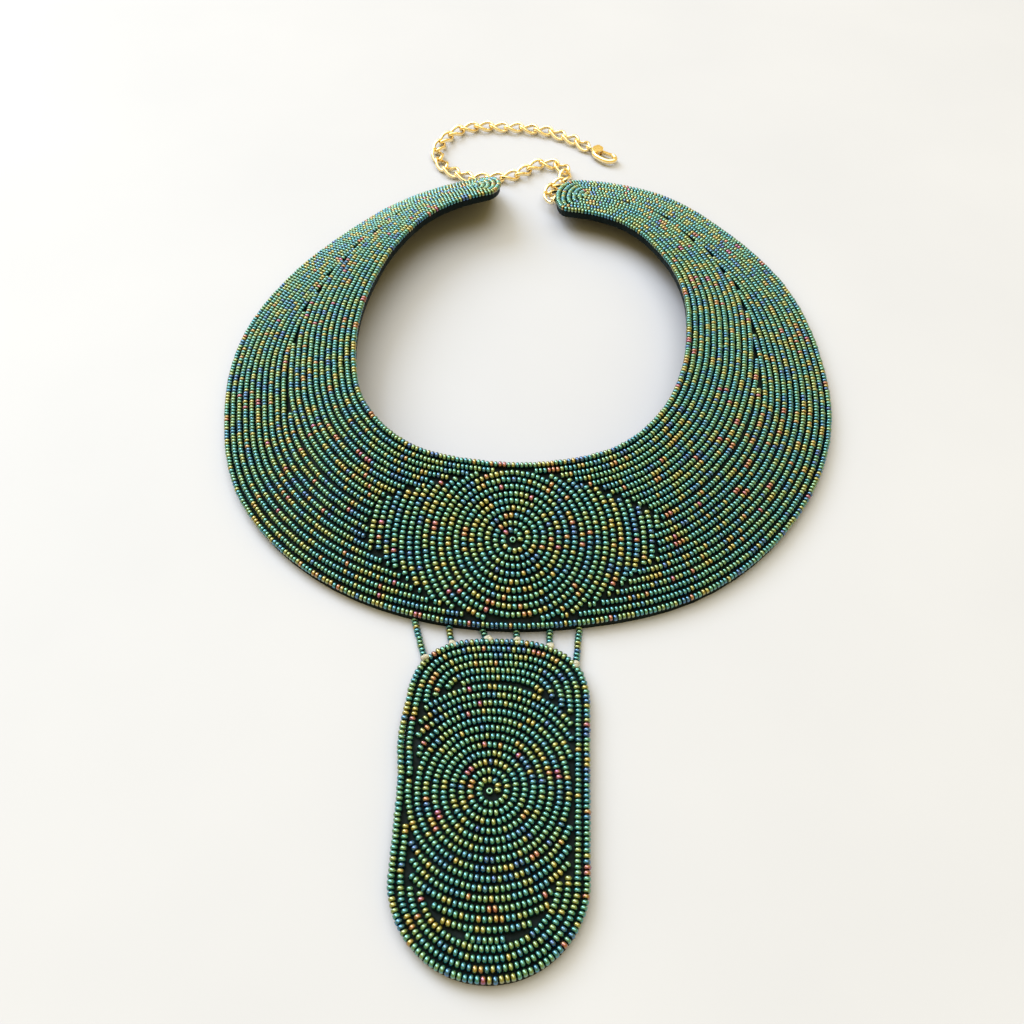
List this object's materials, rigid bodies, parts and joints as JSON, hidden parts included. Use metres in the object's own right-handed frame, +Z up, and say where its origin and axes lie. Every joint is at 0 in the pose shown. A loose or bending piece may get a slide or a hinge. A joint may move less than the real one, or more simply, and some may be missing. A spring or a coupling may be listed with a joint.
{
  "type": "bib necklace",
  "caption": "Beaded bib necklace lying flat: an open leather collar covered in iris seed beads, a beaded tab on short bead strings, and a curb chain with a lobster clasp.",
  "frame": {"origin": "on the table under the middle of the necklace's box", "axes": "+Z up from the table, +Y from the hanging tab towards the chain, +X to the wearer's left as seen from above with the tab towards the viewer's feet"},
  "size_m": [0.2408, 0.4112, 0.0217],
  "materials": {
    "leather": "smooth dark slate leather, satin",
    "iris_beads": "metallic iris glass seed beads, green, teal, olive gold and blue",
    "gold_metal": "polished gold plated brass"
  },
  "bodies": {
    "necklace": {"collar_backing": "leather", "collar_beadwork": "iris_beads", "pendant_backing": "leather", "pendant_beadwork": "iris_beads", "bead_strand_1": "iris_beads", "bead_strand_2": "iris_beads", "bead_strand_3": "iris_beads", "bead_strand_4": "iris_beads", "bead_strand_5": "iris_beads", "bead_strand_6": "iris_beads", "chain_link_01": "gold_metal", "chain_link_02": "gold_metal", "chain_link_03": "gold_metal", "chain_link_04": "gold_metal", "chain_link_05": "gold_metal", "chain_link_06": "gold_metal", "chain_link_07": "gold_metal", "chain_link_08": "gold_metal", "chain_link_09": "gold_metal", "chain_link_10": "gold_metal", "chain_link_11": "gold_metal", "chain_link_12": "gold_metal", "chain_link_13": "gold_metal", "chain_link_14": "gold_metal", "chain_link_15": "gold_metal", "chain_link_16": "gold_metal", "chain_link_17": "gold_metal", "chain_link_18": "gold_metal", "chain_link_19": "gold_metal", "chain_link_20": "gold_metal", "chain_link_21": "gold_metal", "chain_link_22": "gold_metal", "chain_link_23": "gold_metal", "chain_link_24": "gold_metal", "chain_link_25": "gold_metal", "chain_link_26": "gold_metal", "chain_link_27": "gold_metal", "clasp_body": "gold_metal"},
    "clasp_lever": {"clasp_lever": "gold_metal"}
  },
  "joints": [
    {"name": "clasp_lever_hinge", "type": "hinge", "parent": "necklace", "child": "clasp_lever", "pos_m": [0.03005, 0.18392, 0.0023], "axis": [0, 0, 1], "range_deg": [-24, 0], "stiffness_Nm_per_rad": 0.001, "springref_deg": 5.73}
  ]
}
